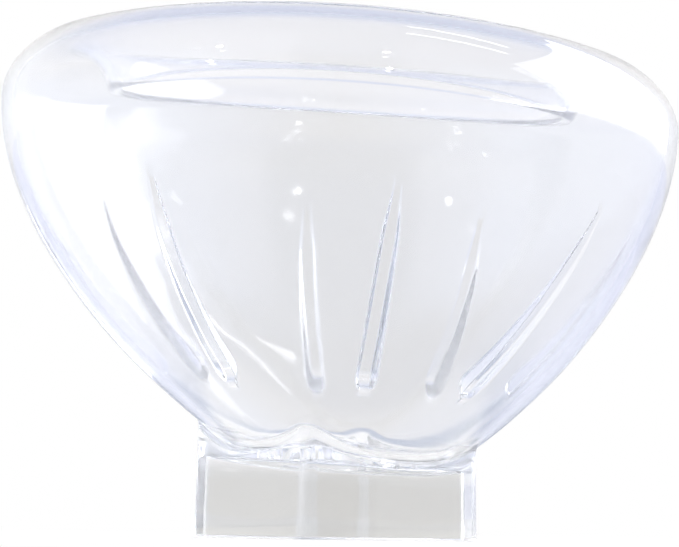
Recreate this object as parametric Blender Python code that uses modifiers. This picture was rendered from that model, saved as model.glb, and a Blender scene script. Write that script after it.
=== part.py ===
"""Pet inhalation mask, one clear soft moulding.

A round bowl with a curled face rim stands on a square socket, which plugs on a nebuliser.
The bowl's floor is the socket's ceiling, and the aerosol rises through a round port in it.
Eight tapered ribs inside the bowl stiffen its flank.

Metres, +Z up. The origin is the middle of the socket's mouth, on which the mask stands,
and the socket's flats face along X and Y.
"""

from math import cos, pi, radians, sin, tan

import bmesh
import bpy
from mathutils import Matrix, Vector
from mathutils.bvhtree import BVHTree
from mathutils.geometry import interpolate_bezier

# Bowl: radii and heights of the middle of its wall, before it settles
WALL = 0.0020
RIM_RADIUS = 0.0540
RIM_HEIGHT = 0.0703
CREST_INSET = 0.0085
CREST_RISE = 0.0101
LIP_INSET = 0.0173
LIP_RISE = 0.0005
FLANK_RADIUS = 0.0363
FLANK_HEIGHT = 0.0311
FLANK_SLOPE = radians(48.8)
FLOOR_RADIUS = 0.0130
FLOOR_HEIGHT = 0.0135
LIP_ROUNDING = 0.0007

# The curl keeps its section wherever the widest ring goes
CREST_RADIUS = RIM_RADIUS - CREST_INSET
CREST_HEIGHT = RIM_HEIGHT + CREST_RISE
LIP_RADIUS = RIM_RADIUS - LIP_INSET
LIP_HEIGHT = RIM_HEIGHT + LIP_RISE

# How far each stretch of the wall stays straight beside the point that it leaves
LIP_REACH = 0.0045
CREST_REACH_IN = 0.0045
CREST_REACH_OUT = 0.0016
RIM_REACH_UP = 0.0066
RIM_REACH_DOWN = 0.0156
FLANK_REACH_UP = 0.0120
FLANK_REACH_DOWN = 0.0055
FLOOR_REACH = 0.0060
LIP_LEAN = radians(12)

# How the soft bowl settles on its neck
LEAN = radians(3.0)
LEAN_AZIMUTH = radians(-33)
BELLY_SET = 0.0046
SADDLE = 0.0024

# Ribs inside the flank
RIB_COUNT = 8
RIB_TURN = radians(8)
RIB_WIDTH = 0.0026
RIB_PROUD = 0.0012
RIB_FOOT_HEIGHT = 0.0262
RIB_TIP_HEIGHT = 0.0540
RIB_TIP_SIZE = 0.15
RIB_FOOT_SIZE = 0.6
RIB_SHARES = (0, 0.03, 0.2, 0.4, 0.6, 0.8, 1)

# Socket and neck
SOCKET_WIDTH = 0.0300
SOCKET_CORNER = 0.0012
NECK_WALL = 0.0021
NECK_CORNER = 0.0022
NECK_DRAFT = radians(1.4)
NECK_FILLET = 0.0024
FILLET_SWEEP = radians(75)
MOUTH_EDGE = 0.0003
PORT_RADIUS = 0.00735
CEILING_SKIN = 0.0002

# Fineness of the facets
TURN_STEPS = 72
CURL_POINTS = 8
FLANK_POINTS = 9
FLOOR_POINTS = 6
PORT_STEPS = 48
SMOOTH_ANGLE = radians(35)
SHARP_ANGLE = radians(60)
SIDE_STEPS = 6
CORNER_STEPS = 4
FILLET_STEPS = 3
MERGE = 0.00001
OVERRUN = 0.004


def clear_scene():
    for old in list(bpy.data.objects):
        bpy.data.objects.remove(old, do_unlink=True)


def new_collection(name):
    collection = bpy.data.collections.new(name)
    bpy.context.scene.collection.children.link(collection)
    return collection


def add_object(name, mesh, collection):
    made = bpy.data.objects.new(name, mesh)
    collection.objects.link(made)
    return made


def hide_as_cutter(cutter):
    cutter.hide_render = True
    cutter.display_type = "WIRE"
    return cutter


def applied(source, collection, name):
    """A plain copy of what source shows with its modifiers; source itself is removed."""
    bpy.context.view_layer.update()
    seen = source.evaluated_get(bpy.context.evaluated_depsgraph_get())
    mesh = bpy.data.meshes.new_from_object(seen)
    mesh.transform(source.matrix_world)
    bm = bmesh.new()
    bm.from_mesh(mesh)
    bmesh.ops.remove_doubles(bm, verts=bm.verts, dist=MERGE)
    bm.to_mesh(mesh)
    bm.free()
    bpy.data.objects.remove(source, do_unlink=True)
    return add_object(name, mesh, collection)


def add_boolean(target, operand, operation):
    boolean = target.modifiers.new(operation.title() + " " + operand.name, "BOOLEAN")
    boolean.operation = operation
    boolean.object = operand


def wall_line(start=0):
    """The middle of the bowl's wall from the lip over the crest down to the floor's middle."""
    slope = Vector((cos(FLANK_SLOPE), 0, sin(FLANK_SLOPE)))
    lip = Vector((LIP_RADIUS, 0, LIP_HEIGHT))
    crest = Vector((CREST_RADIUS, 0, CREST_HEIGHT))
    rim = Vector((RIM_RADIUS, 0, RIM_HEIGHT))
    flank = Vector((FLANK_RADIUS, 0, FLANK_HEIGHT))
    floor = Vector((FLOOR_RADIUS, 0, FLOOR_HEIGHT))
    lip_way = Vector((sin(LIP_LEAN), 0, cos(LIP_LEAN))) * LIP_REACH
    out, up = Vector((1, 0, 0)), Vector((0, 0, 1))
    stretches = (
        (lip, lip + lip_way, crest - out * CREST_REACH_IN, crest, CURL_POINTS),
        (crest, crest + out * CREST_REACH_OUT, rim + up * RIM_REACH_UP, rim, CURL_POINTS),
        (rim, rim - up * RIM_REACH_DOWN, flank + slope * FLANK_REACH_UP, flank, FLANK_POINTS),
        (flank, flank - slope * FLANK_REACH_DOWN, floor + out * FLOOR_REACH, floor, FLOOR_POINTS),
    )
    line = []
    for first, leave, arrive, last, points in stretches[start:]:
        line += interpolate_bezier(first, leave, arrive, last, points)[:-1]
    return line + [floor, Vector((0, 0, FLOOR_HEIGHT))]


def line_mesh(name, points):
    mesh = bpy.data.meshes.new(name)
    edges = [(i, i + 1) for i in range(len(points) - 1)]
    mesh.from_pydata(points, edges, [])
    return mesh


def turn(target):
    """Turns the target's outline once round Z."""
    screw = target.modifiers.new("Turn", "SCREW")
    screw.steps = TURN_STEPS
    screw.render_steps = TURN_STEPS
    screw.use_merge_vertices = True
    screw.merge_threshold = MERGE


def make_shell(collection):
    """The bowl's wall with its curled rim, still true and without ribs."""
    shell = add_object("bowl shell", line_mesh("bowl outline", wall_line()), collection)
    turn(shell)
    solidify = shell.modifiers.new("Wall", "SOLIDIFY")
    solidify.thickness = WALL
    solidify.offset = 0
    solidify.use_even_offset = True
    rounding = shell.modifiers.new("Round the lip", "BEVEL")
    rounding.width = LIP_ROUNDING
    rounding.segments = 2
    rounding.limit_method = "ANGLE"
    rounding.angle_limit = SHARP_ANGLE
    return shell


def make_room(collection):
    """The space inside the middle of the wall, which keeps the neck out of the bowl."""
    lid = Vector((0, 0, RIM_HEIGHT))
    outline = [lid] + wall_line(start=2)
    room = add_object("room", line_mesh("room outline", outline), collection)
    turn(room)
    return room


def flank_point(height, depth):
    """The point of the flank at a height, moved inward from the middle of the wall."""
    line = wall_line(start=2)
    for upper, lower in zip(line, line[1:]):
        if lower.z <= height <= upper.z:
            share = (height - lower.z) / (upper.z - lower.z)
            run = (upper - lower).normalized()
            return lower.lerp(upper, share) + Vector((-run.z, 0, run.x)) * depth


def make_rib(number, collection):
    """A round bead half sunk in the wall, full at its foot and running out at its tip."""
    curve = bpy.data.curves.new("rib", "CURVE")
    curve.dimensions = "3D"
    curve.bevel_depth = RIB_WIDTH / 2
    curve.bevel_resolution = 2
    curve.use_fill_caps = True
    spline = curve.splines.new("POLY")
    spline.points.add(len(RIB_SHARES) - 1)
    proud_share = RIB_PROUD / (RIB_WIDTH / 2)
    for point, share in zip(spline.points, RIB_SHARES):
        size = 1 + (RIB_TIP_SIZE - 1) * share if share else RIB_FOOT_SIZE
        height = RIB_FOOT_HEIGHT + (RIB_TIP_HEIGHT - RIB_FOOT_HEIGHT) * share
        depth = WALL / 2 + (proud_share - 1) * size * RIB_WIDTH / 2
        point.co = (*flank_point(height, depth), 1)
        point.radius = size
    rib = add_object("rib curve", curve, collection)
    rib.rotation_euler.z = RIB_TURN + number * 2 * pi / RIB_COUNT
    return applied(rib, collection, "rib")


def make_ribs(collection):
    """All ribs as one operand."""
    bm = bmesh.new()
    for number in range(RIB_COUNT):
        rib = make_rib(number, collection)
        bm.from_mesh(rib.data)
        bpy.data.objects.remove(rib, do_unlink=True)
    mesh = bpy.data.meshes.new("ribs")
    bm.to_mesh(mesh)
    bm.free()
    return add_object("ribs", mesh, collection)


def settled(point):
    """Where a point of the true bowl comes to lie.

    The soft bowl leans over, so its rim is lower on one side and its belly is set towards
    that side. The rim also sags at both ends of that direction and rises between them.
    """
    x, y, z = point
    up_share = min(max((z - FLOOR_HEIGHT) / (CREST_HEIGHT - FLOOR_HEIGHT), 0), 1)
    down_share = max((RIM_HEIGHT - z) / (RIM_HEIGHT - FLOOR_HEIGHT), 0)
    z -= SADDLE * (x * x - y * y) / RIM_RADIUS**2 * up_share**2
    x += BELLY_SET * down_share**2
    leant = Matrix.Rotation(LEAN, 3, "Y") @ Vector((x, y, z - RIM_HEIGHT))
    return Matrix.Rotation(LEAN_AZIMUTH, 3, "Z") @ (leant + Vector((0, 0, RIM_HEIGHT)))


def settle(target):
    for vertex in target.data.vertices:
        vertex.co = settled(vertex.co)


def ceiling_height(x, y):
    """The socket's ceiling over a point: the underside of the bowl's floor, leaning with it."""
    level = FLOOR_HEIGHT - WALL / 2 - CEILING_SKIN
    along = x * cos(LEAN_AZIMUTH) + y * sin(LEAN_AZIMUTH)
    return RIM_HEIGHT + (level - RIM_HEIGHT) / cos(LEAN) - along * tan(LEAN)


def rounded_square(half, corner):
    """Points of a rounded square, each with its outward direction."""
    outline = []
    for side in range(4):
        spin = Matrix.Rotation(side * pi / 2, 2)
        flat = half - corner
        for step in range(SIDE_STEPS):
            along = -flat + 2 * flat * step / SIDE_STEPS
            outline.append((spin @ Vector((half, along)), spin @ Vector((1, 0))))
        for step in range(CORNER_STEPS):
            angle = pi / 2 * step / CORNER_STEPS
            way = Vector((cos(angle), sin(angle)))
            outline.append((spin @ (Vector((flat, flat)) + way * corner), spin @ way))
    return outline


def loft(name, rings, collection):
    """A closed solid through rings of like count, lowest first."""
    bm = bmesh.new()
    rows = [[bm.verts.new(point) for point in ring] for ring in rings]
    count = len(rings[0])
    for low, high in zip(rows, rows[1:]):
        for i in range(count):
            j = (i + 1) % count
            bm.faces.new((low[i], low[j], high[j], high[i]))
    bm.faces.new(reversed(rows[0]))
    bm.faces.new(rows[-1])
    mesh = bpy.data.meshes.new(name)
    bm.to_mesh(mesh)
    bm.free()
    return add_object(name, mesh, collection)


def neck_ring(offset, height_of):
    """The neck's outline moved outward, each point at its own height and drawn in by the draft."""
    ring = []
    for point, way in rounded_square(SOCKET_WIDTH / 2 + NECK_WALL, NECK_CORNER):
        out = point + way * offset
        height = height_of(out)
        out -= way * height * tan(NECK_DRAFT)
        ring.append((out.x, out.y, height))
    return ring


def make_neck(shell, collection):
    """The neck's outside as a solid: its top sweeps out in a fillet against the bowl."""
    mesh = shell.data
    tree = BVHTree.FromPolygons([v.co for v in mesh.vertices], [p.vertices for p in mesh.polygons])

    def bowl_height(place):
        return tree.ray_cast(Vector((place.x, place.y, -1)), Vector((0, 0, 1)))[0].z

    rings = [neck_ring(-MOUTH_EDGE, lambda place: 0), neck_ring(0, lambda place: MOUTH_EDGE)]
    for step in range(FILLET_STEPS + 1):
        angle = FILLET_SWEEP * step / FILLET_STEPS
        below = NECK_FILLET * (1 - sin(angle))
        offset = NECK_FILLET * (1 - cos(angle))
        rings.append(neck_ring(offset, lambda place, below=below: bowl_height(place) - below))
    rings.append(neck_ring(offset, lambda place: bowl_height(place) + OVERRUN))
    return loft("neck", rings, collection)


def make_socket(collection):
    """The hollow of the neck, up to the ceiling, with a lead-in at its mouth."""
    rings = []
    for height, offset in ((-OVERRUN, MOUTH_EDGE), (0, MOUTH_EDGE), (MOUTH_EDGE, 0), (None, 0)):
        ring = []
        for point, way in rounded_square(SOCKET_WIDTH / 2, SOCKET_CORNER):
            out = point + way * offset
            level = ceiling_height(out.x, out.y) if height is None else height
            out -= way * max(level, 0) * tan(NECK_DRAFT)
            ring.append((out.x, out.y, level))
        rings.append(ring)
    return loft("socket", rings, collection)


def make_port(collection):
    """The round hole through the bowl's floor, square to it."""
    bm = bmesh.new()
    bmesh.ops.create_cone(
        bm,
        cap_ends=True,
        segments=PORT_STEPS,
        radius1=PORT_RADIUS,
        radius2=PORT_RADIUS,
        depth=WALL + 2 * OVERRUN,
    )
    mesh = bpy.data.meshes.new("port")
    bm.to_mesh(mesh)
    bm.free()
    port = add_object("port", mesh, collection)
    port.location.z = ceiling_height(0, 0)
    port.rotation_euler = (0, LEAN, LEAN_AZIMUTH)
    return port


def clear_plastic():
    """Clear soft vinyl, a little blue."""
    material = bpy.data.materials.new("Clear soft vinyl")
    material.use_nodes = True
    shader = material.node_tree.nodes["Principled BSDF"]
    shader.inputs["Base Color"].default_value = (0.93, 0.95, 0.97, 1)
    shader.inputs["Metallic"].default_value = 0
    shader.inputs["Roughness"].default_value = 0.06
    shader.inputs["IOR"].default_value = 1.52
    shader.inputs["Transmission Weight"].default_value = 0.95
    return material


def make_mask():
    clear_scene()
    parts = new_collection("Pet inhalation mask")
    cutters = new_collection("Cutters")

    shell = make_shell(parts)
    ribs = make_ribs(cutters)
    add_boolean(shell, ribs, "UNION")
    mask = applied(shell, parts, "mask_body")
    bpy.data.objects.remove(ribs, do_unlink=True)
    settle(mask)

    room = applied(make_room(cutters), cutters, "room")
    settle(room)
    neck = make_neck(mask, cutters)
    add_boolean(neck, room, "DIFFERENCE")
    add_boolean(mask, neck, "UNION")
    socket = make_socket(cutters)
    port = make_port(cutters)
    add_boolean(mask, socket, "DIFFERENCE")
    add_boolean(mask, port, "DIFFERENCE")
    for cutter in (room, neck, socket, port):
        hide_as_cutter(cutter)

    mask.data.materials.clear()
    mask.data.materials.append(clear_plastic())
    mask.data.shade_smooth()
    mask.data.set_sharp_from_angle(angle=SMOOTH_ANGLE)


make_mask()
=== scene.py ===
"""Pet inhalation mask in clear soft vinyl, on a white table before a white sweep.

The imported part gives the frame. The mask is drawn again over it as one fine closed moulding:
its wall section is extruded and spun, then the neck is squared, the ribs are raised and the
soft bowl is settled on its neck.

Metres, +Z up. The origin is the middle of the socket's mouth.
"""

from bisect import bisect_left
from math import atan, atan2, cos, hypot, pi, radians, sin, sqrt, tan

import bpy
from mathutils import Matrix, Vector
from mathutils.geometry import interpolate_bezier


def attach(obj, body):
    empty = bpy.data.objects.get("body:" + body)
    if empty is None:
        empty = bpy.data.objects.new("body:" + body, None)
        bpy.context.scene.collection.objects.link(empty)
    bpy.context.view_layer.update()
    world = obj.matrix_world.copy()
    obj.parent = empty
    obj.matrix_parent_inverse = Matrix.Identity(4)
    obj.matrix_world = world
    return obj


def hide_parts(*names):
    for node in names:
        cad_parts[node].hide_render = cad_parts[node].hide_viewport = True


# The bowl's wall, as in the part. The widest ring is 0.07 mm less than the part's, so that it
# stays inside the part's facets.
WALL = 0.0020
RIM_RADIUS = 0.05393
RIM_HEIGHT = 0.0703
CREST_RADIUS = 0.0455
CREST_HEIGHT = 0.0804
LIP_RADIUS = 0.0367
LIP_HEIGHT = 0.0708
FLANK_RADIUS = 0.0363
FLANK_HEIGHT = 0.0311
FLANK_SLOPE = radians(48.8)
FLOOR_RADIUS = 0.0130
FLOOR_HEIGHT = 0.0135
LIP_LEAN = radians(12)
LIP_ROUND = 0.0008

# How far the curves of the wall's middle line reach from those points
LIP_REACH = 0.0045
CREST_REACH_IN = 0.0045
CREST_REACH_OUT = 0.0016
RIM_REACH_UP = 0.0066
RIM_REACH_DOWN = 0.0156
FLANK_REACH_UP = 0.0120
FLANK_REACH_DOWN = 0.0055
FLOOR_REACH = 0.0060

# How the soft bowl settles: it leans, its belly slides to the low side, its rim sags at the ends
LEAN = radians(3.0)
LEAN_AZIMUTH = radians(-33)
BELLY_SET = 0.0046
SADDLE = 0.0024

# The ribs: each has its own shift off an even spacing, in degrees, and sways over its length
RIB_TURN = radians(8)
RIB_SHIFTS = (0, 4.8, -1.3, 0, 0, 1.0, 0.6, -5.6)
RIB_SWAYS = (-0.0002, 0.0026, -0.0014, -0.0008, 0.0002, 0.0011, 0.0022, 0.0080)
SWAY_PIVOT = 0.25
SWAY_ENDS = (-0.1, 1.1)
RIB_RADIUS = 0.038
RIB_CREST_HALF = 0.00095
RIB_ROOT_HALF = 0.00170
RIB_PROUD = 0.0024
RIB_FOOT = 0.0262
RIB_TIP = 0.0550
RIB_NARROWING = 0.15
TIP_NARROWING = 0.40
TIP_START = 0.70
FOOT_WIDTH = 0.55
FOOT_SPREAD = 0.45
FOOT_BELOW = 0.0016
FOOT_ROUND = 0.0022

# The wall beside a rib is drawn along with it: from below the foot to above the tip, and aside
FOLLOW_FOOT = (0.008, 0.002)
FOLLOW_TIP = 0.010
FOLLOW_ASIDE = (0.0025, 0.0125)

# The square neck, its socket and the port
SOCKET_HALF = 0.0150
SOCKET_CORNER = 0.0012
NECK_HALF = 0.0171
NECK_CORNER = 0.0022
NECK_DRAFT = radians(1.4)
NECK_FILLET = 0.0024
MOUTH_EDGE = 0.0003
PORT_RADIUS = 0.00735
PORT_EDGE = 0.0003
CEILING_SKIN = 0.0002
CEILING_CORNER = 0.0005
WALLS_START = 0.0006
NECK_TOP_SHARE = 0.97

# How finely the moulding is drawn: points in each curve of the middle line, the entries near the
# crest and the widest ring, then the rings of each stretch
STRETCH_POINTS = 400
CREST_ENTRY = STRETCH_POINTS
RIM_ENTRY = 2 * STRETCH_POINTS
NECK_RINGS = 5
FILLET_RINGS = 12
APRON_RINGS = 6
FLANK_RINGS = 22
SHOULDER_RINGS = 11
CURL_RINGS = 12
CURL_RINGS_IN = 11
SHOULDER_RINGS_IN = 9
OVER_RIB_RINGS = 7
RIB_RINGS = 44
RIB_FOOT_RINGS = 10
UNDER_RIB_RINGS = 11
CEILING_RINGS = 6
SOCKET_RINGS = 5
EDGE_STEPS = 3
CORNER_STEPS = 4
LIP_STEPS = 4
RIB_FOOT_BAND = (0.0008, 0.0017)
APRON_RADIUS = 0.0310

# Columns round it: off a rib's middle in millimetres, off a neck's corner in degrees
COLUMN_STEP = radians(1.4)
RIB_COLUMNS = (0, 0.45, 0.8, 0.96, 1.08, 1.18, 1.27, 1.36, 1.45, 1.55, 1.66, 1.82, 2.1, 2.5)
CORNER_COLUMNS = (0, 0.9, 1.8, 2.7, 3.6, 4.5)
CLEAR_OF_RIB = 0.0028

# Heights in the section as it is first drawn, before each column finds its own
DRAWN_NECK_TOP = 0.0118
DRAWN_FILLET = 0.0120
DRAWN_SWEEP = pi / 3
DRAWN_CEILING = 0.0123
SEAM_JOIN = 0.000005

# How the neck's fillet finds the underside: rounds of correction, and the step for its slope
SETTLE_ROUNDS = 7
SLACK_ROUNDS = 3
SLOPE_STEP = 0.0006

# The vinyl's tints, at the neck and over it. The neck's darker, warmer tint is painted shade,
# standing in for the dimmer table seen through the neck
NECK_SHADE_TINT = (0.875, 0.87, 0.855)
BOWL_TINT = (0.985, 0.985, 0.99)
NECK_SHADE_CHANGE = (0.010, 0.014)

# The camera
CAMERA_AZIMUTH = radians(-33.3)
CAMERA_DISTANCE = 0.970
CAMERA_HEIGHT = 0.004
CAMERA_PITCH = radians(2.306)
CAMERA_ROLL = radians(0.8)
CAMERA_LENS = 317.5
CAMERA_SHIFT = 0.0015

# Tones that the clear wall shows of the table: white paper, and painted shade, that is the mask's
# shadow near it and a greyer table far off. Where on the table they change: by reach from the mask
# and by how far the place is toward the camera, in metres, and by slant, which is 0 in line with the
# camera and 1 square to that line
PAPER = (1.0, 1.0, 1.0)
# Painted shadow of the mask on the table, before it, beside it and behind it, seen only through the
# clear wall
FRONT_SHADE = (0.35, 0.40, 0.52)
FRONT_SHADE_TOWARD = (0.018, 0.026)
SIDE_SHADE = (0.42, 0.47, 0.62)
SIDE_SHADE_REACH = (0.035, 0.045)
SIDE_SHADE_SLANT = (0.60, 0.80)
SHADE_BEHIND = (0.30, 0.36, 0.50)
SHADE_BEHIND_REACH = (0.045, 0.075)
SHADE_BEHIND_SLANT = (0.34, 0.46)
# On the table these are painted shade: the table greys far from the mask, as less light is painted
# there
FAR_TABLE = (0.76, 0.79, 0.95)
FAR_TABLE_REACH = (0.15, 0.24)
FAR_TABLE_SLANT = (0.12, 0.42)
HORIZON = (0.74, 0.73, 0.715)
SIDE_HORIZON = (0.77, 0.775, 0.80)
HORIZON_SLANT = (0.02, 0.09)
SHADOW_REACH = (0.05, 0.30)
SHADOW_GLOW = 0.88

# Tones that it shows of the room, by the height and the slant of a direction
SWEEP = (0.75, 0.745, 0.74)
SIDE_SWEEP = (0.83, 0.845, 0.885)
SWEEP_SLANT = (0.005, 0.055)
SWEEP_FOOT = (0.008, 0.022)
HAZY_SWEEP = (0.88, 0.87, 0.87)
HAZY_HEIGHT = (0.06, 0.16)
DAYLIGHT = (1.02, 1.04, 1.10)
DAYLIGHT_SLANT = (0.15, 0.75)
OVERHEAD = (0.64, 0.68, 0.83)
OVERHEAD_HEIGHT = (0.30, 0.65)
ROOM_LIGHT = 0.95

# Lamps: name, place as seen from the mask (right, toward the camera, up), size, power, colour
LAMP_AIM = Vector((0, 0, 0.05))
LAMPS = (
    ("window", (0.95, -0.42, 0.48), (1.5, 0.95), 13.0, (0.97, 0.98, 1.0)),
    ("side window", (0.82, -0.86, 0.36), (0.08, 0.55), 0.7, (1, 1, 1)),
    ("ceiling strip", (0.61, -0.13, 1.33), (0.05, 0.55), 0.6, (1, 1, 1)),
)
SPOTS = ((0.27, 0.93, 0.25), (-0.67, 0.68, 0.29), (0.25, 0.74, 0.62), (-0.57, 0.55, 0.61))
SPOT_DISTANCE = 1.25
SPOT_SIZE = 0.05
SPOT_POWER = 0.3

# Light goes round and round in the clear wall before it comes out
CLEAR_BOUNCES = 96
DIFFUSE_BOUNCES = 12


def deselect_all():
    if bpy.context.object and bpy.context.object.mode != "OBJECT":
        bpy.ops.object.mode_set(mode="OBJECT")
    bpy.ops.object.select_all(action="DESELECT")


def clamped(value, low=0, high=1):
    return min(max(value, low), high)


def smooth(value, start, end):
    """0 up to start, 1 from end, and a smooth way between."""
    share = clamped((value - start) / (end - start))
    return share * share * (3 - 2 * share)


def spread(start, end, count, ends=False):
    """Even shares from start to end, without both ends unless they are asked for."""
    if ends:
        return [start + (end - start) * k / (count - 1) for k in range(count)]
    return [start + (end - start) * (k + 1) / (count + 1) for k in range(count)]


def quarter_round(steps, first, last):
    """Steps first to last of a rounding: the shares still to go across it and gone along it."""
    order = range(first, last + 1) if first <= last else range(first, last - 1, -1)
    turns = [pi / 2 * k / steps for k in order]
    return [(1 - sin(turn), 1 - cos(turn)) for turn in turns]


def studio_place(right, toward, up):
    """A place given from the mask as the camera sees it: to its right, towards it and up."""
    across = Vector((cos(CAMERA_AZIMUTH), sin(CAMERA_AZIMUTH), 0))
    front = Vector((sin(CAMERA_AZIMUTH), -cos(CAMERA_AZIMUTH), 0))
    return across * right + front * toward + Vector((0, 0, up))


# Shape of the bowl's wall, and how the soft bowl settles


def settled(x, y, z):
    """Where a point of the true turned bowl comes to lie once the soft bowl leans over."""
    up_share = clamped((z - FLOOR_HEIGHT) / (CREST_HEIGHT - FLOOR_HEIGHT))
    down_share = max((RIM_HEIGHT - z) / (RIM_HEIGHT - FLOOR_HEIGHT), 0)
    z -= SADDLE * (x * x - y * y) / RIM_RADIUS**2 * up_share**2
    x += BELLY_SET * down_share**2
    z -= RIM_HEIGHT
    x, z = x * cos(LEAN) + z * sin(LEAN), z * cos(LEAN) - x * sin(LEAN)
    turn_cos, turn_sin = cos(LEAN_AZIMUTH), sin(LEAN_AZIMUTH)
    return Vector((x * turn_cos - y * turn_sin, x * turn_sin + y * turn_cos, z + RIM_HEIGHT))


def wall_middle():
    """The middle of the bowl's wall from the lip over the crest down to the floor's edge."""
    slope = Vector((cos(FLANK_SLOPE), 0, sin(FLANK_SLOPE)))
    lip = Vector((LIP_RADIUS, 0, LIP_HEIGHT))
    crest = Vector((CREST_RADIUS, 0, CREST_HEIGHT))
    rim = Vector((RIM_RADIUS, 0, RIM_HEIGHT))
    flank = Vector((FLANK_RADIUS, 0, FLANK_HEIGHT))
    floor = Vector((FLOOR_RADIUS, 0, FLOOR_HEIGHT))
    lip_way = Vector((sin(LIP_LEAN), 0, cos(LIP_LEAN))) * LIP_REACH
    out, up = Vector((1, 0, 0)), Vector((0, 0, 1))
    stretches = (
        (lip, lip + lip_way, crest - out * CREST_REACH_IN, crest),
        (crest, crest + out * CREST_REACH_OUT, rim + up * RIM_REACH_UP, rim),
        (rim, rim - up * RIM_REACH_DOWN, flank + slope * FLANK_REACH_UP, flank),
        (flank, flank - slope * FLANK_REACH_DOWN, floor + out * FLOOR_REACH, floor),
    )
    line = []
    for stretch in stretches:
        line += interpolate_bezier(*stretch, STRETCH_POINTS)[:-1]
    return line + [floor]


# What an entry of a face holds: its radius, its height and how far along the face it is
RADIUS, HEIGHT, RUN = 0, 1, 2


def wall_face(side):
    """The entries of one face of the wall, lip first; side is 1 outside and -1 inside."""
    line = wall_middle()
    face = []
    run = 0.0
    for i, point in enumerate(line):
        way = (line[min(i + 1, len(line) - 1)] - line[max(i - 1, 0)]).normalized()
        place = point + Vector((-way.z, 0, way.x)) * (side * WALL / 2)
        if face:
            run += hypot(place.x - face[-1][RADIUS], place.z - face[-1][HEIGHT])
        face.append((place.x, place.z, run))
    return face


OUTSIDE = wall_face(1)
INSIDE = wall_face(-1)


def at_run(face, run):
    """Radius and height of a face at a run, with its outward direction across the wall."""
    runs = [entry[RUN] for entry in face]
    i = clamped(bisect_left(runs, run), 1, len(face) - 1)
    (r0, z0, s0), (r1, z1, s1) = face[i - 1], face[i]
    share = (run - s0) / (s1 - s0)
    length = hypot(r1 - r0, z1 - z0)
    across = (-(z1 - z0) / length, (r1 - r0) / length)
    return r0 + (r1 - r0) * share, z0 + (z1 - z0) * share, across


def run_where(face, measure, value):
    """The run at which a face's RADIUS or HEIGHT last passes a value on the way to the floor."""
    for first, second in reversed(list(zip(face, face[1:]))):
        a, b = first[measure] - value, second[measure] - value
        if a * b <= 0 and a != b:
            return first[RUN] + (second[RUN] - first[RUN]) * a / (a - b)
    return face[-1][RUN]


UNDERSIDE = sorted((radius, height) for radius, height, _ in OUTSIDE[RIM_ENTRY:])


def underside_height(radius):
    """Height of the turned bowl's underside at a radius."""
    i = clamped(bisect_left(UNDERSIDE, (radius, 0)), 1, len(UNDERSIDE) - 1)
    (r0, z0), (r1, z1) = UNDERSIDE[i - 1], UNDERSIDE[i]
    return z0 + (z1 - z0) * clamped((radius - r0) / (r1 - r0))


def under_bowl(x, y):
    """The underside over a place of the table: its point on the turned bowl, and its height."""
    turn_cos, turn_sin = cos(LEAN_AZIMUTH), sin(LEAN_AZIMUTH)
    u, v = x * turn_cos + y * turn_sin, -x * turn_sin + y * turn_cos
    height = 0.0
    for _ in range(SETTLE_ROUNDS):
        place = settled(u, v, underside_height(hypot(u, v)))
        off_x, off_y = x - place.x, y - place.y
        u += off_x * turn_cos + off_y * turn_sin
        v += -off_x * turn_sin + off_y * turn_cos
        height = place.z
    return u, v, height


# Shape of the neck, the socket's ceiling and the port


def squared(angle, half, corner):
    """The point of a rounded square in a direction from its middle, with its outward direction."""
    side = round(angle / (pi / 2))
    within = angle - side * pi / 2
    flat = half - corner
    point, way = Vector((half, half * tan(within))), Vector((1, 0))
    if abs(point.y) > flat:
        middle = Vector((flat, flat if within > 0 else -flat))
        ray = Vector((cos(within), sin(within)))
        reach = ray.dot(middle)
        point = ray * (reach + sqrt(reach**2 - middle.length_squared + corner**2))
        way = (point - middle).normalized()
    turn = Matrix.Rotation(side * pi / 2, 2)
    return turn @ point, turn @ way


def drafted(spot, way, inset, height):
    """A point of the neck or the socket at a height: it is drawn in towards the top."""
    spot = spot - way * (inset + height * tan(NECK_DRAFT))
    return Vector((spot.x, spot.y, height))


def ceiling_height(x, y):
    """The socket's ceiling over a point of its mouth: it leans with the bowl's floor."""
    level = FLOOR_HEIGHT - WALL / 2 - CEILING_SKIN
    along = x * cos(LEAN_AZIMUTH) + y * sin(LEAN_AZIMUTH)
    return RIM_HEIGHT + (level - RIM_HEIGHT) / cos(LEAN) - along * tan(LEAN)


FLOOR_TILT = Matrix.Rotation(LEAN_AZIMUTH, 3, "Z") @ Matrix.Rotation(LEAN, 3, "Y")


def port_place(column, radius, height):
    """A point round the port's leaning axis, its height taken from the ceiling."""
    place = FLOOR_TILT @ Vector((radius * column.cos, radius * column.sin, height))
    place.z += ceiling_height(0, 0)
    return place


# Shape of the ribs

RIBS = [
    (RIB_TURN + k * pi / 4 + radians(shift), sway)
    for k, (shift, sway) in enumerate(zip(RIB_SHIFTS, RIB_SWAYS))
]


def off_rib(angle):
    """How far an angle is off the nearest rib, that rib's angle and its sway."""
    offs = [((angle - rib + pi) % (2 * pi) - pi, rib, sway) for rib, sway in RIBS]
    return min(offs, key=lambda entry: abs(entry[0]))


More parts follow.
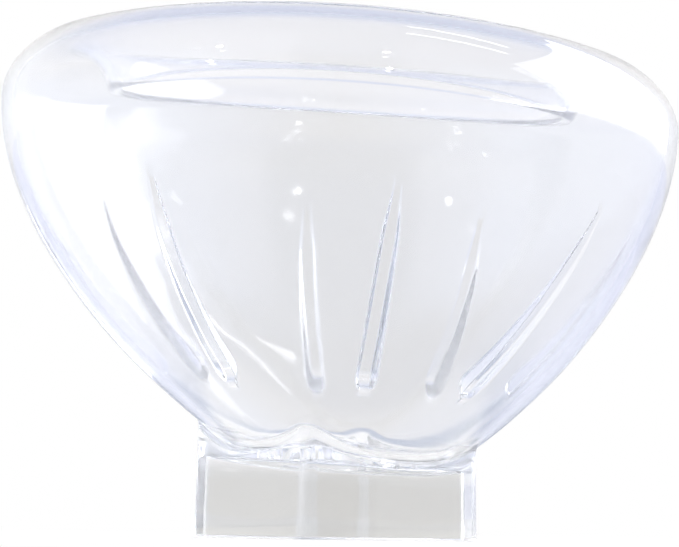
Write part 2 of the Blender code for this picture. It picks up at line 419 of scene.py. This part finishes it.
def column_angles():
    """Angles of the columns round the bowl, closer together at the ribs and the neck's corners."""
    wanted = []
    for rib, _ in RIBS:
        for across in RIB_COLUMNS:
            turn = across / 1000 / RIB_RADIUS
            wanted += [rib - turn, rib + turn] if across else [rib]
    for corner in range(4):
        middle = pi / 4 + corner * pi / 2 - LEAN_AZIMUTH
        for turn in CORNER_COLUMNS:
            places = (middle - radians(turn), middle + radians(turn)) if turn else (middle,)
            for place in places:
                if abs(off_rib(place)[0]) * RIB_RADIUS > CLEAR_OF_RIB:
                    wanted.append(place)
    wanted = sorted(angle % (2 * pi) for angle in wanted)
    angles = []
    for angle, following in zip(wanted, wanted[1:] + [wanted[0] + 2 * pi]):
        steps = int((following - angle) / COLUMN_STEP) + 1
        angles += [angle + (following - angle) * step / steps for step in range(steps)]
    return angles


def up_rib(height):
    """How far up a rib a height is: 0 at its foot, 1 at its tip."""
    return (height - RIB_FOOT) / (RIB_TIP - RIB_FOOT)


def rib_foot(height):
    """0 at the very end of a rib's foot and 1 from where the foot's rounding is over."""
    past = clamped((height - RIB_FOOT + FOOT_BELOW) / FOOT_ROUND)
    return sqrt(1 - (1 - past) ** 2)


def beside_rib(column, radius, height):
    """The column's angle on a ring of the bowl's inside: near a rib it runs along the rib."""
    share = up_rib(height)
    follow = smooth(height, RIB_FOOT - FOLLOW_FOOT[0], RIB_FOOT - FOLLOW_FOOT[1])
    follow *= 1 - smooth(height, RIB_TIP, RIB_TIP + FOLLOW_TIP)
    follow *= 1 - smooth(abs(column.off_rib) * RIB_RADIUS, *FOLLOW_ASIDE)
    width = 1 - RIB_NARROWING * clamped(share) - TIP_NARROWING * smooth(share, TIP_START, 1.0)
    width *= FOOT_WIDTH + FOOT_SPREAD * rib_foot(height)
    sway = column.sway * (clamped(share, *SWAY_ENDS) - SWAY_PIVOT) / radius
    off = column.off_rib * (1 + (RIB_RADIUS * width / radius - 1) * follow)
    return column.rib + off + sway * follow


def rib_proud(column, height):
    """How far a column stands off the bowl's inside: steep sides, a flat top, less at the tip."""
    share = up_rib(height)
    if share > 1:
        return 0.0
    size = (1 - share) * rib_foot(height)
    across = abs(column.off_rib) * RIB_RADIUS
    return RIB_PROUD * size * (1 - smooth(across, RIB_CREST_HALF, RIB_ROOT_HALF))


# The rings of the wall section. Each has the radius and height at which the section is first
# drawn, and gives the place of its point in every column of the finished moulding.


class TurnedRing:
    """A ring of the turned bowl."""

    def __init__(self, radius, height):
        self.radius, self.height = radius, height

    def place(self, column):
        return settled(self.radius * column.cos, self.radius * column.sin, self.height)


class RibbedRing:
    """A ring of the bowl's inside where the ribs stand."""

    def __init__(self, run):
        self.radius, self.height, self.across = at_run(INSIDE, run)

    def place(self, column):
        angle = beside_rib(column, self.radius, self.height)
        proud = rib_proud(column, self.height)
        radius = self.radius - self.across[0] * proud
        height = self.height - self.across[1] * proud
        return settled(radius * cos(angle), radius * sin(angle), height)


class ApronRing:
    """A ring of the underside, from the neck's fillet out to a true circle."""

    def __init__(self, share):
        self.share = share
        start = NECK_HALF + NECK_FILLET
        self.radius = start + (APRON_RADIUS - start) * share
        self.height = underside_height(self.radius)

    def place(self, column):
        share = self.share
        u = column.contact[0] * (1 - share) + APRON_RADIUS * column.cos * share
        v = column.contact[1] * (1 - share) + APRON_RADIUS * column.sin * share
        return settled(u, v, underside_height(hypot(u, v)))


class FilletRing:
    """A ring of the fillet that sweeps the square neck out into the bowl."""

    def __init__(self, share):
        self.share = share
        self.radius = NECK_HALF + NECK_FILLET * (1 - cos(share * DRAWN_SWEEP))
        self.height = DRAWN_FILLET + NECK_FILLET * sin(share * DRAWN_SWEEP)

    def place(self, column):
        angle = column.sweep * self.share
        out = NECK_FILLET * (1 - cos(angle))
        height = column.fillet_height + NECK_FILLET * sin(angle) + column.slack * self.share**2
        return drafted(column.neck, column.neck_way, -out, height)


class NeckRing:
    """A ring of the neck's outside, at a share of its height up to the fillet."""

    def __init__(self, share):
        self.share, self.radius = share, NECK_HALF
        self.height = WALLS_START + (DRAWN_NECK_TOP - WALLS_START) * share

    def place(self, column):
        height = WALLS_START + (column.fillet_height - WALLS_START) * self.share
        return drafted(column.neck, column.neck_way, 0, height)


class NeckMouthRing:
    """A ring of the mouth's rounded edge on the neck's side."""

    def __init__(self, inset, height):
        self.inset, self.height = inset, height
        self.radius = NECK_HALF - inset

    def place(self, column):
        return drafted(column.neck, column.neck_way, self.inset, self.height)


class SocketMouthRing:
    """A ring of the mouth's rounded edge on the socket's side."""

    def __init__(self, inset, height):
        self.inset, self.height = inset, height
        self.radius = SOCKET_HALF - inset

    def place(self, column):
        return drafted(column.socket, column.socket_way, self.inset, self.height)


class SocketRing:
    """A ring of the socket's wall, at a share of the height up to the ceiling's corner."""

    def __init__(self, share):
        self.share, self.radius = share, SOCKET_HALF
        self.height = WALLS_START + (DRAWN_NECK_TOP - WALLS_START) * share

    def place(self, column):
        top = ceiling_height(column.socket.x, column.socket.y) - CEILING_CORNER
        height = WALLS_START + (top - WALLS_START) * self.share
        return drafted(column.socket, column.socket_way, 0, height)


class SocketCornerRing:
    """A ring of the rounded corner between the socket's wall and its ceiling."""

    def __init__(self, inset, drop):
        self.inset, self.drop = inset, drop
        self.radius, self.height = SOCKET_HALF - inset, DRAWN_CEILING - drop

    def place(self, column):
        inner = column.socket - column.socket_way * self.inset
        height = ceiling_height(inner.x, inner.y) - self.drop
        return drafted(column.socket, column.socket_way, self.inset, height)


class CeilingRing:
    """A ring of the socket's flat ceiling, from the round port to the square wall."""

    def __init__(self, share):
        self.share = share
        start, end = PORT_RADIUS + PORT_EDGE, SOCKET_HALF - CEILING_CORNER
        self.radius, self.height = start + (end - start) * share, DRAWN_CEILING

    def place(self, column):
        round_place = port_place(column, PORT_RADIUS + PORT_EDGE, 0)
        top = ceiling_height(column.socket.x, column.socket.y)
        square_place = drafted(column.socket, column.socket_way, CEILING_CORNER, top)
        x = round_place.x * (1 - self.share) + square_place.x * self.share
        y = round_place.y * (1 - self.share) + square_place.y * self.share
        return Vector((x, y, ceiling_height(x, y)))


class PortRing:
    """A ring round the port, square to the bowl's floor: its rise is taken from the ceiling."""

    def __init__(self, radius, rise):
        self.radius, self.rise = radius, rise
        self.height = DRAWN_CEILING + rise

    def place(self, column):
        return port_place(column, self.radius, self.rise)


class FloorRing:
    """A ring of the bowl's flat floor, from the turned bowl in to the port."""

    def __init__(self, share):
        self.share = share
        self.radius = FLOOR_RADIUS + (PORT_RADIUS + PORT_EDGE - FLOOR_RADIUS) * share
        self.height = FLOOR_HEIGHT + WALL / 2

    def place(self, column):
        edge = INSIDE[-1]
        outer = settled(edge[RADIUS] * column.cos, edge[RADIUS] * column.sin, edge[HEIGHT])
        inner = port_place(column, PORT_RADIUS + PORT_EDGE, WALL + CEILING_SKIN)
        return outer.lerp(inner, self.share)


class Column:
    """What one column of the moulding knows of the nearest rib and of the neck at its angle."""

    def __init__(self, angle):
        self.cos, self.sin = cos(angle), sin(angle)
        self.off_rib, self.rib, self.sway = off_rib(angle)
        ground = angle + LEAN_AZIMUTH
        self.neck, self.neck_way = squared(ground, NECK_HALF, NECK_CORNER)
        self.socket, self.socket_way = squared(ground, SOCKET_HALF, SOCKET_CORNER)
        guess = underside_height(self.neck.length)
        base = self.neck - self.neck_way * guess * tan(NECK_DRAFT)
        here = under_bowl(*base)[2]
        out = under_bowl(*(base + self.neck_way * 2 * SLOPE_STEP))[2]
        slope = (out - here) / (2 * SLOPE_STEP)
        self.fillet_height = here + slope * NECK_FILLET - NECK_FILLET * sqrt(1 + slope**2)
        self.sweep = pi / 2 - atan(slope)
        self.slack = 0.0
        for _ in range(SLACK_ROUNDS):
            end = FilletRing(1).place(self)
            u, v, height = under_bowl(end.x, end.y)
            self.slack += height - end.z
        self.contact = (u, v)


# The wall section, ring by ring


def bowl_rings(face, start, end, count, ends=False):
    """Plain rings of the turned bowl on one face, from run to run."""
    runs = spread(start, end, count, ends)
    return [TurnedRing(*at_run(face, run)[:2]) for run in runs]


def ribbed_rings(start, end, count, ends=False):
    return [RibbedRing(run) for run in spread(start, end, count, ends)]


def neck_rings():
    """From the mouth up the neck and out over the fillet to the bowl's underside."""
    rings = [
        NeckMouthRing(MOUTH_EDGE * across, MOUTH_EDGE * along)
        for across, along in quarter_round(EDGE_STEPS, 0, EDGE_STEPS)
    ]
    rings += [NeckRing(share) for share in spread(0, NECK_TOP_SHARE, NECK_RINGS, ends=True)]
    rings += [FilletRing(share) for share in spread(0, 1, FILLET_RINGS, ends=True)]
    return rings + [ApronRing(share) for share in spread(0, 1, APRON_RINGS)]


def outside_rings():
    """Up the bowl's outside, over the crest and down to the lip."""
    crest, rim = OUTSIDE[CREST_ENTRY][RUN], OUTSIDE[RIM_ENTRY][RUN]
    apron = run_where(OUTSIDE, RADIUS, APRON_RADIUS)
    rings = bowl_rings(OUTSIDE, apron, rim, FLANK_RINGS, ends=True)
    rings += bowl_rings(OUTSIDE, rim, crest, SHOULDER_RINGS)
    return rings + bowl_rings(OUTSIDE, crest, LIP_ROUND, CURL_RINGS, ends=True)


def lip_rings():
    """The rounded free edge of the lip, from the outer face to the inner."""
    line = wall_middle()
    way = (line[1] - line[0]).normalized()
    sideways = Vector((-way.z, 0, way.x))
    rings = []
    for side, first, last in ((1, 1, LIP_STEPS), (-1, LIP_STEPS, 1)):
        for across, along in quarter_round(LIP_STEPS, first, last):
            off = WALL / 2 - LIP_ROUND * along
            place = line[0] + way * (LIP_ROUND * across) + sideways * (side * off)
            rings.append(TurnedRing(place.x, place.z))
    return rings


def inside_rings():
    """Up behind the lip, over the crest and down past the ribs to the port."""
    crest, rim, end = INSIDE[CREST_ENTRY][RUN], INSIDE[RIM_ENTRY][RUN], INSIDE[-1][RUN]
    tip = run_where(INSIDE, HEIGHT, RIB_TIP)
    foot = run_where(INSIDE, HEIGHT, RIB_FOOT + RIB_FOOT_BAND[0])
    below = run_where(INSIDE, HEIGHT, RIB_FOOT - RIB_FOOT_BAND[1])
    rings = bowl_rings(INSIDE, LIP_ROUND, crest, CURL_RINGS_IN, ends=True)
    rings += bowl_rings(INSIDE, crest, rim, SHOULDER_RINGS_IN)
    rings += ribbed_rings(rim, tip, OVER_RIB_RINGS, ends=True)
    rings += ribbed_rings(tip, foot, RIB_RINGS)
    rings += ribbed_rings(foot, below, RIB_FOOT_RINGS, ends=True)
    rings += ribbed_rings(below, end, UNDER_RIB_RINGS)
    rings.append(TurnedRing(*at_run(INSIDE, end)[:2]))
    return rings + [FloorRing(share) for share in (0.5, 1)]


def port_rings():
    """Down through the port, with both its edges rounded."""
    top = WALL + CEILING_SKIN
    rings = [
        PortRing(PORT_RADIUS + PORT_EDGE * across, top - PORT_EDGE * along)
        for across, along in quarter_round(EDGE_STEPS, 1, EDGE_STEPS)
    ]
    rings.append(PortRing(PORT_RADIUS, top / 2))
    return rings + [
        PortRing(PORT_RADIUS + PORT_EDGE * across, PORT_EDGE * along)
        for across, along in quarter_round(EDGE_STEPS, EDGE_STEPS, 1)
    ]


def socket_rings():
    """Out over the socket's ceiling and down its wall to the mouth."""
    rings = [CeilingRing(share) for share in spread(0, 1, CEILING_RINGS, ends=True)]
    rings += [
        SocketCornerRing(CEILING_CORNER * across, CEILING_CORNER * along)
        for across, along in quarter_round(CORNER_STEPS, 1, CORNER_STEPS - 1)
    ]
    rings += [SocketRing(share) for share in spread(1, 0, SOCKET_RINGS, ends=True)]
    return rings + [
        SocketMouthRing(-MOUTH_EDGE * across, MOUTH_EDGE * along)
        for across, along in quarter_round(EDGE_STEPS, EDGE_STEPS, 0)
    ]


def section():
    """The closed wall section: up the outside, over the lip and down the inside to the mouth."""
    outside = neck_rings() + outside_rings()
    return outside + lip_rings() + inside_rings() + port_rings() + socket_rings()


# The moulding


def draw_section(rings):
    """Extrudes the section's outline, ring to ring, from a plane that is merged to a point."""
    deselect_all()
    bpy.ops.mesh.primitive_plane_add(size=0.001, location=(rings[0].radius, 0, rings[0].height))
    mask = bpy.context.object
    mask.name = mask.data.name = "clear_mask"
    bpy.ops.object.mode_set(mode="EDIT")
    bpy.ops.mesh.merge(type="CENTER")
    for ring, following in zip(rings, rings[1:]):
        step = (following.radius - ring.radius, 0, following.height - ring.height)
        bpy.ops.mesh.extrude_region_move(TRANSFORM_OT_translate={"value": step})
    bpy.ops.object.mode_set(mode="OBJECT")
    bpy.ops.object.transform_apply(location=True, rotation=True, scale=True)
    return mask


def spin_section(mask, rings, steps):
    """Closes the outline and turns it once round Z, each point keeping its ring's number."""
    numbers = mask.data.attributes.new("ring", "FLOAT", "POINT")
    numbers.data.foreach_set("value", [float(k) for k in range(len(rings))])
    bpy.ops.object.mode_set(mode="EDIT")
    bpy.ops.mesh.select_all(action="DESELECT")
    bpy.ops.object.mode_set(mode="OBJECT")
    mask.data.vertices[0].select = True
    mask.data.vertices[len(rings) - 1].select = True
    bpy.ops.object.mode_set(mode="EDIT")
    bpy.ops.mesh.edge_face_add()
    bpy.ops.mesh.select_all(action="SELECT")
    bpy.ops.mesh.spin(steps=steps, angle=2 * pi, center=(0, 0, 0), axis=(0, 0, 1))
    bpy.ops.mesh.select_all(action="SELECT")
    bpy.ops.mesh.remove_doubles(threshold=SEAM_JOIN)
    bpy.ops.object.mode_set(mode="OBJECT")


def shape_moulding(mask, rings, columns):
    """Squares the neck, raises the ribs and settles the bowl, point by point."""
    numbers = [0.0] * len(mask.data.vertices)
    mask.data.attributes["ring"].data.foreach_get("value", numbers)
    for vertex, number in zip(mask.data.vertices, numbers):
        turn = atan2(vertex.co.y, vertex.co.x) / (2 * pi) * len(columns)
        vertex.co = rings[round(number)].place(columns[round(turn) % len(columns)])
    mask.data.attributes.remove(mask.data.attributes["ring"])
    bpy.ops.object.mode_set(mode="EDIT")
    bpy.ops.mesh.select_all(action="SELECT")
    bpy.ops.mesh.normals_make_consistent(inside=False)
    bpy.ops.object.mode_set(mode="OBJECT")
    bpy.ops.object.shade_smooth()


def add_mask():
    """The whole moulding, as one closed mesh at the origin."""
    rings = section()
    columns = [Column(angle) for angle in column_angles()]
    mask = draw_section(rings)
    spin_section(mask, rings, len(columns))
    shape_moulding(mask, rings, columns)
    mask.data.materials.append(clear_vinyl())
    return mask


# Materials


def new_material(name):
    material = bpy.data.materials.new(name)
    material.use_nodes = True
    return material, material.node_tree.nodes, material.node_tree.links


def calculated(nodes, links, operation, first, second=None):
    """What a Math node makes of one or two values."""
    node = nodes.new("ShaderNodeMath")
    node.operation = operation
    links.new(first, node.inputs[0])
    if second is not None:
        links.new(second, node.inputs[1])
    return node.outputs[0]


def measured(nodes, links, place, way):
    """How far a place lies along a direction of the studio."""
    node = nodes.new("ShaderNodeVectorMath")
    node.operation = "DOT_PRODUCT"
    node.inputs[1].default_value = way
    links.new(place, node.inputs[0])
    return node.outputs["Value"]


def eased(nodes, links, value, start, end, low=0.0):
    """A share that goes smoothly from low to 1 as value goes from start to end."""
    share = nodes.new("ShaderNodeMapRange")
    share.interpolation_type = "SMOOTHSTEP"
    share.inputs["From Min"].default_value = start
    share.inputs["From Max"].default_value = end
    share.inputs["To Min"].default_value = low
    links.new(value, share.inputs["Value"])
    return share.outputs["Result"]


def tone(nodes, links, value, change, low, high):
    """A colour that goes from low to high as value goes through a change, its start and end."""
    blend = nodes.new("ShaderNodeMix")
    blend.data_type = "RGBA"
    blend.clamp_factor = True
    links.new(eased(nodes, links, value, *change), blend.inputs["Factor"])
    for socket, colour in ((blend.inputs[6], low), (blend.inputs[7], high)):
        if isinstance(colour, tuple):
            socket.default_value = (*colour, 1)
        else:
            links.new(colour, socket)
    return blend.outputs[2]


def clear_vinyl():
    """Clear soft vinyl: faintly tinted, darker and warmer at the neck as painted shade, with a
    flowing skin and a small translucent share.

    That share lets light out of the wall where plain clear plastic would hold it, so that the
    ribs don't go dark. Light from the lamps passes through, for a pale shadow.
    """
    material, nodes, links = new_material("clear soft vinyl")
    output = nodes["Material Output"]
    shader = nodes["Principled BSDF"]
    shader.inputs["IOR"].default_value = 1.5
    shader.inputs["Transmission Weight"].default_value = 0.985
    shader.inputs["Metallic"].default_value = 0.0
    places = nodes.new("ShaderNodeTexCoord")
    parts = nodes.new("ShaderNodeSeparateXYZ")
    links.new(places.outputs["Object"], parts.inputs["Vector"])
    # Base colour: the vinyl's faint tint over the bowl, and painted shade, darker and warmer, at the
    # neck
    tint_and_neck_shade = tone(nodes, links, parts.outputs["Z"], NECK_SHADE_CHANGE, NECK_SHADE_TINT, BOWL_TINT)
    links.new(tint_and_neck_shade, shader.inputs["Base Color"])

    bloom = nodes.new("ShaderNodeTexNoise")
    bloom.inputs["Scale"].default_value = 60
    bloom.inputs["Detail"].default_value = 4
    links.new(places.outputs["Object"], bloom.inputs["Vector"])
    dulling = nodes.new("ShaderNodeMapRange")
    dulling.inputs["From Min"].default_value = 0.35
    dulling.inputs["From Max"].default_value = 0.75
    dulling.inputs["To Min"].default_value = 0.02
    dulling.inputs["To Max"].default_value = 0.07
    links.new(bloom.outputs["Fac"], dulling.inputs["Value"])
    links.new(dulling.outputs["Result"], shader.inputs["Roughness"])

    flow = nodes.new("ShaderNodeTexNoise")
    flow.inputs["Scale"].default_value = 45
    flow.inputs["Detail"].default_value = 1.5
    flow.inputs["Roughness"].default_value = 0.35
    links.new(places.outputs["Object"], flow.inputs["Vector"])
    skin = nodes.new("ShaderNodeBump")
    skin.inputs["Strength"].default_value = 0.25
    skin.inputs["Distance"].default_value = 0.0003
    links.new(flow.outputs["Fac"], skin.inputs["Height"])
    links.new(skin.outputs["Normal"], shader.inputs["Normal"])

    body = nodes.new("ShaderNodeVolumeAbsorption")
    body.inputs["Color"].default_value = (0.84, 0.90, 0.97, 1)
    body.inputs["Density"].default_value = 4.0
    links.new(body.outputs["Volume"], output.inputs["Volume"])

    haze = nodes.new("ShaderNodeBsdfTranslucent")
    haze.inputs["Color"].default_value = (0.97, 0.965, 0.965, 1)
    hazy = nodes.new("ShaderNodeMixShader")
    hazy.inputs["Fac"].default_value = 0.03
    links.new(shader.outputs["BSDF"], hazy.inputs[1])
    links.new(haze.outputs["BSDF"], hazy.inputs[2])

    path = nodes.new("ShaderNodeLightPath")
    lamplight = nodes.new("ShaderNodeBsdfTransparent")
    lamplight.inputs["Color"].default_value = (0.95, 0.96, 0.97, 1)
    vinyl = nodes.new("ShaderNodeMixShader")
    links.new(path.outputs["Is Shadow Ray"], vinyl.inputs["Fac"])
    links.new(hazy.outputs["Shader"], vinyl.inputs[1])
    links.new(lamplight.outputs["BSDF"], vinyl.inputs[2])
    links.new(vinyl.outputs["Shader"], output.inputs["Surface"])
    return material


def seen_mask(nodes, links):
    """Light Path, and a value: 1 for what the camera, reflections and clear plastic show."""
    path = nodes.new("ShaderNodeLightPath")
    camera, glossy = path.outputs["Is Camera Ray"], path.outputs["Is Glossy Ray"]
    either = calculated(nodes, links, "MAXIMUM", camera, glossy)
    through = path.outputs["Is Transmission Ray"]
    return path, calculated(nodes, links, "MAXIMUM", either, through)


def painted_table_shade(nodes, links, place, reach):
    """Painted shade that the clear wall shows of the table: the mask's shadow, dark before, beside
    and behind it, and a paler grey shade far off.
    """
    sideways = measured(nodes, links, place, studio_place(1, 0, 0))
    toward = measured(nodes, links, place, studio_place(0, 1, 0))
    aside = calculated(nodes, links, "ABSOLUTE", sideways)
    slant = calculated(nodes, links, "DIVIDE", aside, reach)
    # Painted shadow of the mask: beside it, before it and behind it
    side = tone(nodes, links, slant, SIDE_SHADE_SLANT, PAPER, SIDE_SHADE)
    near = tone(nodes, links, reach, SIDE_SHADE_REACH, PAPER, side)
    near = tone(nodes, links, toward, FRONT_SHADE_TOWARD, near, FRONT_SHADE)
    behind = tone(nodes, links, slant, SHADE_BEHIND_SLANT, SHADE_BEHIND, FAR_TABLE)
    ground = tone(nodes, links, reach, SHADE_BEHIND_REACH, near, behind)
    # Painted shade far off: the table greys as its light is painted falling away
    far = tone(nodes, links, slant, HORIZON_SLANT, HORIZON, SIDE_HORIZON)
    far = tone(nodes, links, slant, FAR_TABLE_SLANT, far, FAR_TABLE)
    return tone(nodes, links, reach, FAR_TABLE_REACH, ground, far)


def white_paper():
    """The table's paper: plain white to the camera; where the mask shows it, painted shade of the
    mask's shadow and of the table far off.

    Where it is seen it glows, less near the mask, so that its shadow stays.
    """
    material, nodes, links = new_material("white paper")
    shader = nodes["Principled BSDF"]
    shader.inputs["Base Color"].default_value = (0.90, 0.90, 0.90, 1)
    shader.inputs["Roughness"].default_value = 0.8
    shader.inputs["Specular IOR Level"].default_value = 0.0
    glow = nodes.new("ShaderNodeEmission")
    glow.inputs["Strength"].default_value = 1.0
    path, seen = seen_mask(nodes, links)
    places = nodes.new("ShaderNodeTexCoord")
    length = nodes.new("ShaderNodeVectorMath")
    length.operation = "LENGTH"
    links.new(places.outputs["Object"], length.inputs[0])
    reach = length.outputs["Value"]
    # What the clear wall shows of the table, with its painted shade
    through = painted_table_shade(nodes, links, places.outputs["Object"], reach)
    shown = tone(nodes, links, path.outputs["Is Camera Ray"], (0, 1), through, PAPER)
    links.new(shown, glow.inputs["Color"])
    shadowed = eased(nodes, links, reach, *SHADOW_REACH, SHADOW_GLOW)
    paper = nodes.new("ShaderNodeMixShader")
    links.new(calculated(nodes, links, "MULTIPLY", seen, shadowed), paper.inputs["Fac"])
    links.new(shader.outputs["BSDF"], paper.inputs[1])
    links.new(glow.outputs["Emission"], paper.inputs[2])
    links.new(paper.outputs["Shader"], nodes["Material Output"].inputs["Surface"])
    return material


# The studio


def room_tones(nodes, links, way):
    """The tones that the clear wall shows of the room: a sweep behind, daylight from the sides."""
    parts = nodes.new("ShaderNodeSeparateXYZ")
    links.new(way, parts.inputs["Vector"])
    up = parts.outputs["Z"]
    sideways = measured(nodes, links, way, studio_place(1, 0, 0))
    slant = calculated(nodes, links, "ABSOLUTE", sideways)
    middle = tone(nodes, links, slant, SWEEP_SLANT, SWEEP, SIDE_SWEEP)
    foot = tone(nodes, links, slant, HORIZON_SLANT, HORIZON, SIDE_HORIZON)
    low = tone(nodes, links, up, SWEEP_FOOT, foot, middle)
    low = tone(nodes, links, up, HAZY_HEIGHT, low, HAZY_SWEEP)
    wide = tone(nodes, links, slant, DAYLIGHT_SLANT, low, DAYLIGHT)
    return tone(nodes, links, up, OVERHEAD_HEIGHT, wide, OVERHEAD)


def background(nodes, strength):
    """A white background of a strength."""
    node = nodes.new("ShaderNodeBackground")
    node.inputs["Color"].default_value = (1, 1, 1, 1)
    node.inputs["Strength"].default_value = strength
    return node


def light_world():
    """A white room that lights surfaces evenly; the clear wall shows its tones, the camera white."""
    world = bpy.data.worlds.new("studio")
    bpy.context.scene.world = world
    world.use_nodes = True
    nodes, links = world.node_tree.nodes, world.node_tree.links
    sweep = nodes["Background"]
    sweep.inputs["Strength"].default_value = 1.0
    path, seen = seen_mask(nodes, links)
    ways = nodes.new("ShaderNodeTexCoord")
    links.new(room_tones(nodes, links, ways.outputs["Generated"]), sweep.inputs["Color"])
    shown = nodes.new("ShaderNodeMixShader")
    links.new(seen, shown.inputs["Fac"])
    links.new(background(nodes, ROOM_LIGHT).outputs["Background"], shown.inputs[1])
    links.new(sweep.outputs["Background"], shown.inputs[2])
    room = nodes.new("ShaderNodeMixShader")
    links.new(path.outputs["Is Camera Ray"], room.inputs["Fac"])
    links.new(shown.outputs["Shader"], room.inputs[1])
    links.new(background(nodes, 1.0).outputs["Background"], room.inputs[2])
    links.new(room.outputs["Shader"], nodes["World Output"].inputs["Surface"])


def lay_table():
    deselect_all()
    bpy.ops.mesh.primitive_plane_add(size=4, location=(0, 0, 0))
    table = bpy.context.object
    table.name = table.data.name = "white_table"
    table.data.materials.append(white_paper())


def add_lamp(name, place, size, power, colour=(1, 1, 1)):
    data = bpy.data.lights.new(name, "AREA")
    data.shape = "RECTANGLE"
    data.size, data.size_y = size
    data.energy = power
    data.color = colour
    lamp = bpy.data.objects.new(name, data)
    bpy.context.scene.collection.objects.link(lamp)
    lamp.location = place
    lamp.rotation_euler = (LAMP_AIM - place).to_track_quat("-Z", "Y").to_euler()
    return lamp


def light_studio():
    light_world()
    lay_table()
    for name, place, size, power, colour in LAMPS:
        add_lamp(name, studio_place(*place), size, power, colour)
    for way in SPOTS:
        place = studio_place(*way) * SPOT_DISTANCE
        spot = add_lamp("spot", place, (SPOT_SIZE, SPOT_SIZE), SPOT_POWER)
        spot.data.shape = "DISK"


def add_camera():
    data = bpy.data.cameras.new("photograph")
    camera = bpy.data.objects.new("photograph", data)
    bpy.context.scene.collection.objects.link(camera)
    data.lens = CAMERA_LENS
    data.sensor_width = 36
    data.clip_start = 0.01
    data.clip_end = 50
    data.shift_x = CAMERA_SHIFT
    place = Matrix.Translation(
        (sin(CAMERA_AZIMUTH) * CAMERA_DISTANCE, -cos(CAMERA_AZIMUTH) * CAMERA_DISTANCE, CAMERA_HEIGHT)
    )
    aim = Matrix.Rotation(CAMERA_AZIMUTH, 4, "Z") @ Matrix.Rotation(pi / 2 + CAMERA_PITCH, 4, "X")
    camera.matrix_world = place @ aim @ Matrix.Rotation(CAMERA_ROLL, 4, "Z")
    bpy.context.scene.camera = camera


def trace_clear_wall():
    """Enough bounces for light that goes round and round in the wall before it comes out."""
    cycles = bpy.context.scene.cycles
    cycles.max_bounces = cycles.glossy_bounces = cycles.transmission_bounces = CLEAR_BOUNCES
    cycles.diffuse_bounces = DIFFUSE_BOUNCES


def build():
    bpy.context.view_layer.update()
    mask = add_mask()
    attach(mask, "root")
    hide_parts("mask_body")
    light_studio()
    add_camera()
    bpy.context.scene.view_settings.view_transform = "Standard"
    trace_clear_wall()


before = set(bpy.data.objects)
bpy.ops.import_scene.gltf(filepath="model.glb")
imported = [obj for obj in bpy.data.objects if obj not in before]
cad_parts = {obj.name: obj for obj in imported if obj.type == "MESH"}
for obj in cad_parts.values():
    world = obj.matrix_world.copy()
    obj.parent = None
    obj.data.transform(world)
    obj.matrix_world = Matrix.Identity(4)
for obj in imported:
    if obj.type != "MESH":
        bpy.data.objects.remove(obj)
build()
